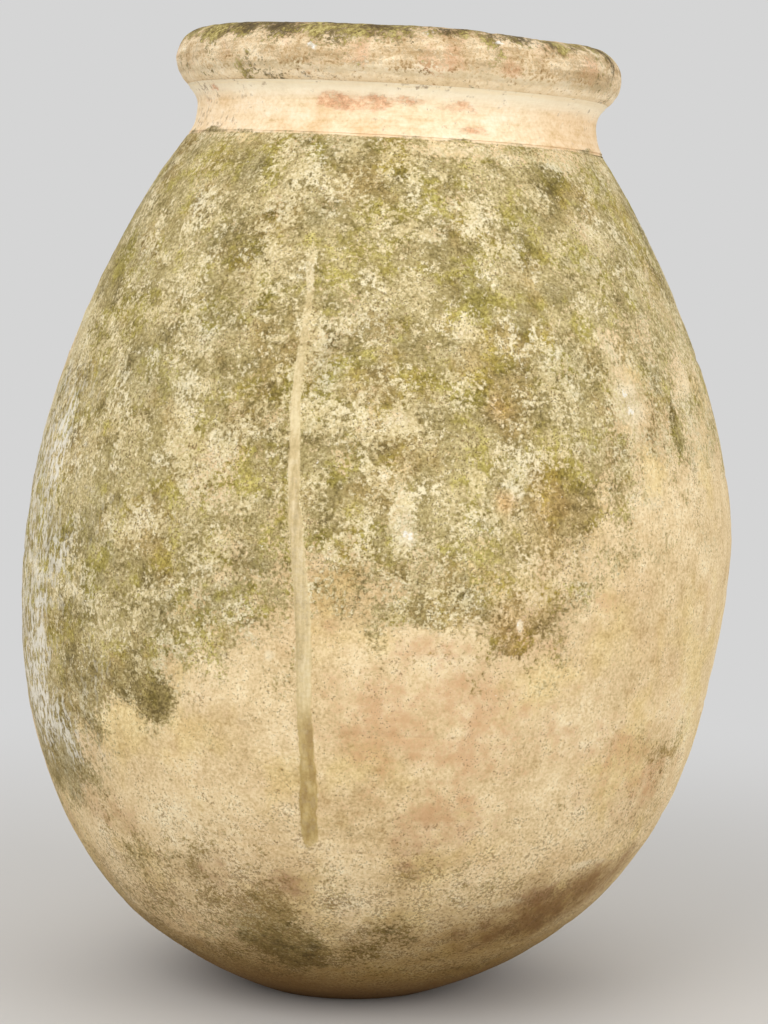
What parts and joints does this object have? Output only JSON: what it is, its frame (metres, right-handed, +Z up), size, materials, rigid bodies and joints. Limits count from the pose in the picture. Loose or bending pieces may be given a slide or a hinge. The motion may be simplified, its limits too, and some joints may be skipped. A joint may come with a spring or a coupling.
{
  "type": "olive jar",
  "caption": "Large egg-shaped terracotta olive jar with a rolled rim over a short neck, built in luted lifts, glazed inside, weathered with lichen outside.",
  "frame": {"origin": "centre of the foot, on the standing plane, where the jar's axis crosses it", "axes": "+Z up; the front in the picture faces -Y; the jar's axis leans 2 degrees from +Z towards +X"},
  "size_m": [0.7263, 0.726, 0.9761],
  "materials": {
    "foot_clay": "worn matt fired clay, warm brown, freckled with dark lichen",
    "lime_worn_clay": "matt clay under a thin lime bloom, beige to pink",
    "lichened_clay": "rough lichened clay, olive green with cream speckle",
    "bare_clay": "bare salmon fired clay",
    "rim_clay": "worn beige-brown clay with dark moss on the top",
    "inner_glaze": "honey to olive lead glaze, glossy under dust",
    "neck_slip": "pale cream slip, wiped and chalky",
    "glaze_run": "dull ochre glaze run"
  },
  "bodies": {
    "root": {"floor_slab": "foot_clay", "foot_lift": "foot_clay", "lower_body_lift": "foot_clay", "lower_belly_lift": "lime_worn_clay", "belly_lift": "lime_worn_clay", "upper_belly_lift": "lichened_clay", "shoulder_lift": "lichened_clay", "upper_shoulder_lift": "lichened_clay", "neck_collar": "bare_clay", "rolled_rim": "rim_clay", "glaze_lining": "inner_glaze", "neck_slip": "neck_slip", "glaze_run": "glaze_run"}
  },
  "joints": []
}
